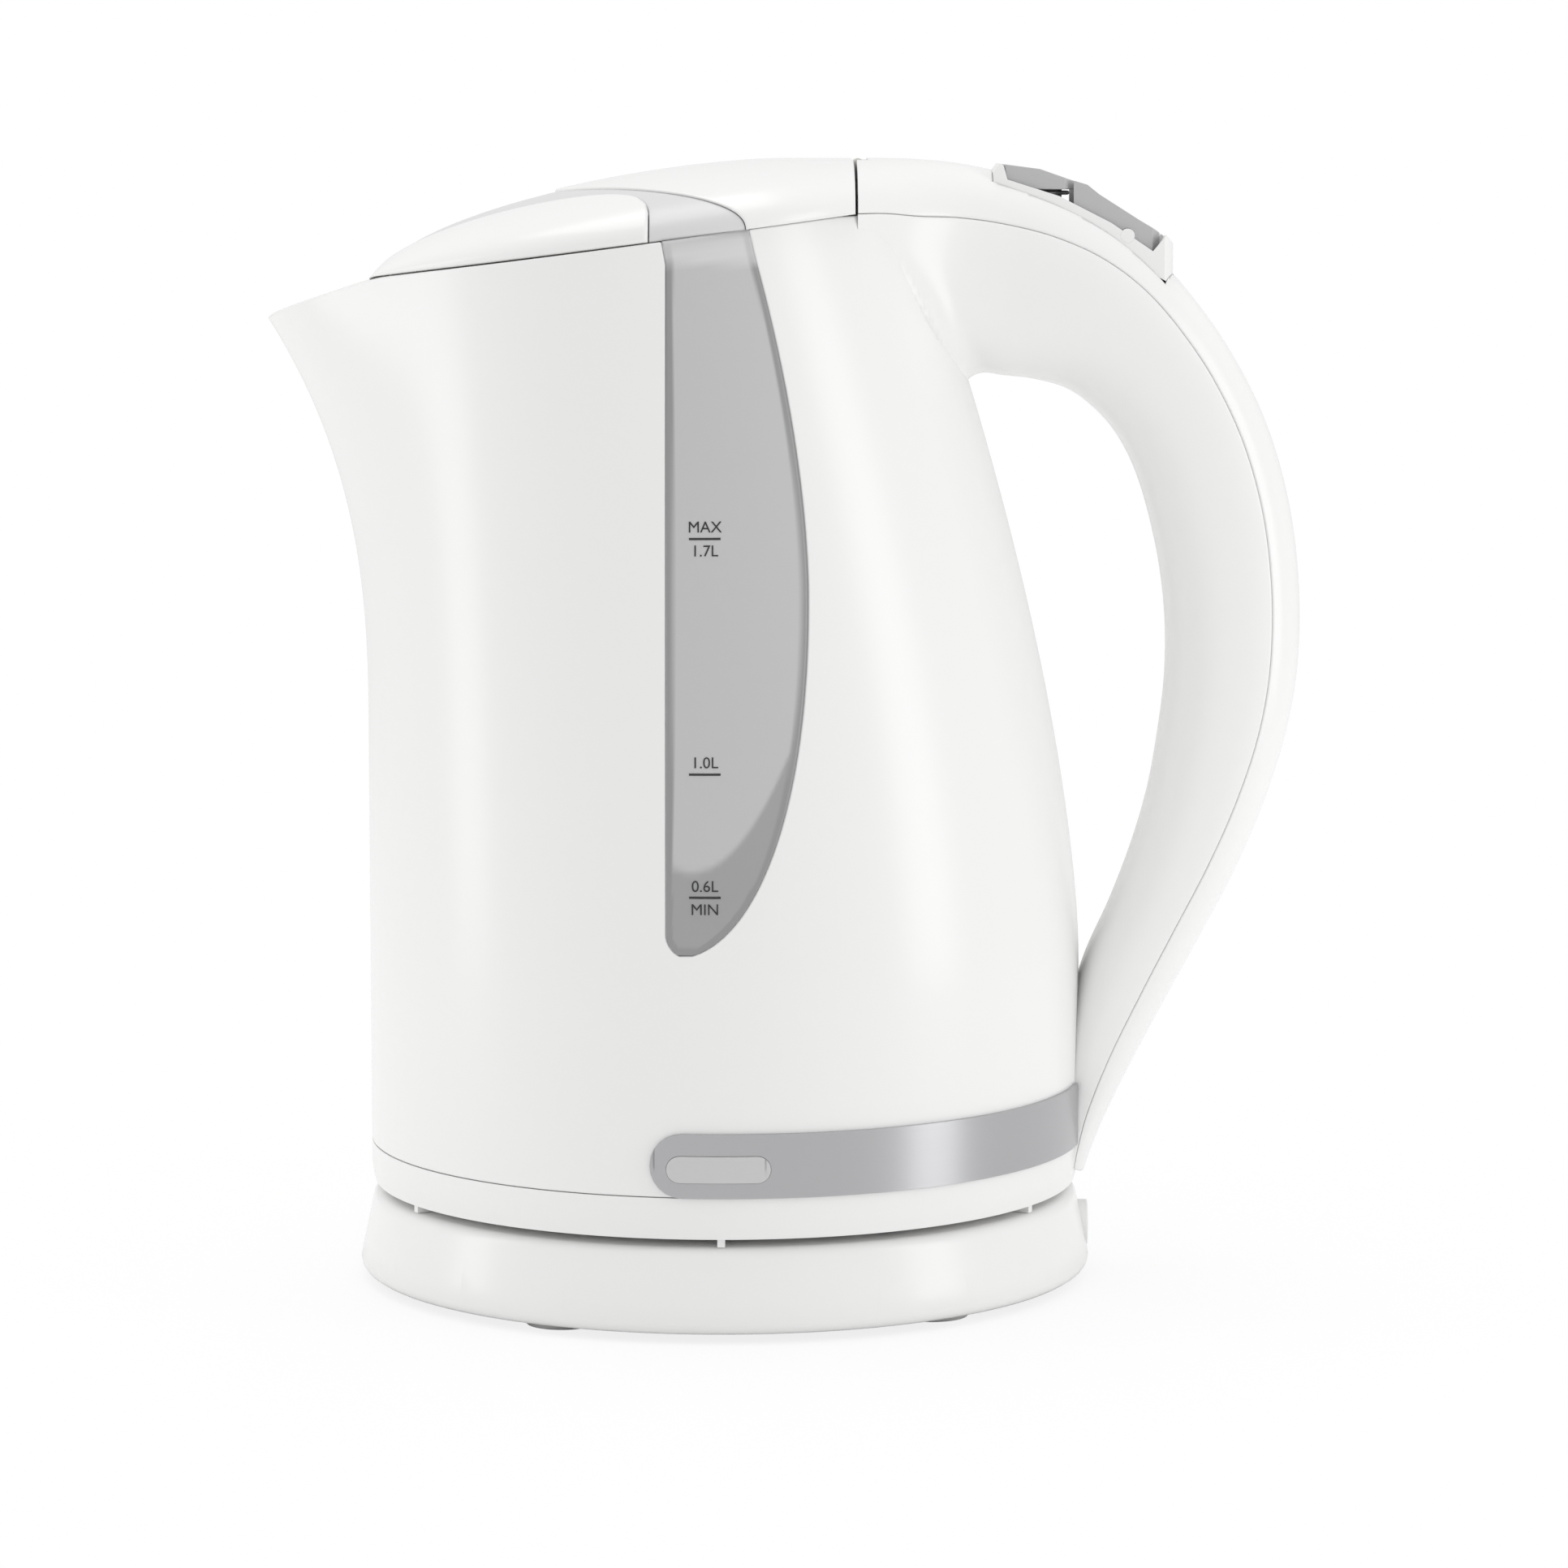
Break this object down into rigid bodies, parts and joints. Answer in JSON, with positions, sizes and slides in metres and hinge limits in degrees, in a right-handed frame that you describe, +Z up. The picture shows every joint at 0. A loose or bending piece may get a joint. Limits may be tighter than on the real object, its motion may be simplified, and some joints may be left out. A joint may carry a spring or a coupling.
{
  "type": "electric kettle",
  "caption": "Cordless jug kettle with a hinged lid, water windows, a curved hollow handle with lid button and rocker switch, on a turning power base.",
  "frame": {"origin": "the point where the power base's turning axis meets the table", "axes": "+Z up along the turning axis, +X from the spout towards the handle, +Y completes the right-handed set through the right-hand water window"},
  "size_m": [0.221, 0.158, 0.2404],
  "materials": {
    "white_plastic": "satin moulded polypropylene",
    "grey_plastic": "satin moulded polypropylene, light grey",
    "button_plastic": "fine matt",
    "window_plastic": "clear, lightly smoked",
    "inner_plastic": "plain moulded",
    "dark_plastic": "plain moulded",
    "trim_metal": "fine brushed",
    "steel": "brushed",
    "zinc_steel": "bright zinc",
    "brass": "bright",
    "rubber_grey": "matt",
    "silicone": "matt, milky",
    "lens_plastic": "frosted clear",
    "lamp_glass": "clear",
    "wire_pvc": "smooth"
  },
  "bodies": {
    "base": {"base_cover": "white_plastic", "base_plate": "dark_plastic", "base_feet": "rubber_grey", "base_screws": "zinc_steel", "base_socket": "inner_plastic", "socket_contacts": "brass", "cord_gland": "rubber_grey"},
    "swivel": {"swivel_ring": "dark_plastic"},
    "jug": {"bottom_ring": "white_plastic", "bottom_screws": "zinc_steel", "jug_connector": "dark_plastic", "connector_pin": "brass", "control_unit": "inner_plastic", "bimetal_discs": "brass", "heating_element": "steel", "heat_spreader": "zinc_steel", "heating_plate": "steel", "plate_seal": "silicone", "clamp_ring": "zinc_steel", "jug_shell": "white_plastic", "handle_grip": "white_plastic", "water_window_left": "window_plastic", "water_window_right": "window_plastic", "trim_band_left": "trim_metal", "trim_band_right": "trim_metal", "pilot_lens": "lens_plastic", "pilot_lamp": "lamp_glass", "spout_filter": "grey_plastic", "filter_mesh": "steel", "handle_cover": "white_plastic", "handle_screw": "zinc_steel", "switch_bezel": "white_plastic", "switch_pin": "steel", "steam_switch": "dark_plastic", "steam_bimetal": "brass", "switch_wires": "wire_pvc", "button_spring": "steel", "hinge_bridge": "inner_plastic", "hinge_pin": "steel"},
    "lid": {"lid_wings": "white_plastic", "lid_inlay": "grey_plastic", "lid_rear_shell": "white_plastic", "lid_liner": "inner_plastic", "lid_seal": "silicone", "lid_screws": "zinc_steel"},
    "lid_button": {"lid_button": "button_plastic"},
    "lid_latch": {"lid_latch": "inner_plastic"},
    "power_switch": {"power_switch": "button_plastic"}
  },
  "joints": [
    {"name": "jug_swivel", "type": "hinge", "parent": "base", "child": "swivel", "pos_m": [0, 0, 0], "axis": [0, 0, 1], "continuous": true},
    {"name": "jug_lift", "type": "slide", "parent": "swivel", "child": "jug", "axis": [0, 0, 1], "range_m": [0, 0.06]},
    {"name": "lid_hinge", "type": "hinge", "parent": "jug", "child": "lid", "pos_m": [0.0285, 0, 0.23915], "axis": [0, 1, 0], "range_deg": [0, 75]},
    {"name": "lid_button", "type": "slide", "parent": "jug", "child": "lid_button", "axis": [0, 0, -1], "range_m": [0, 0.0025], "stiffness_N_per_m": 400, "springref_m": -0.001, "deforming": ["button_spring"]},
    {"name": "lid_latch", "type": "slide", "parent": "jug", "child": "lid_latch", "axis": [1, 0, 0], "range_m": [0, 0.0025]},
    {"name": "rocker", "type": "hinge", "parent": "jug", "child": "power_switch", "pos_m": [0.0855, 0, 0.2241], "axis": [0, -1, 0], "range_deg": [0, 7]}
  ],
  "couplings": [
    {"joint": "lid_latch", "follows": "lid_button", "ratio": 1}
  ]
}
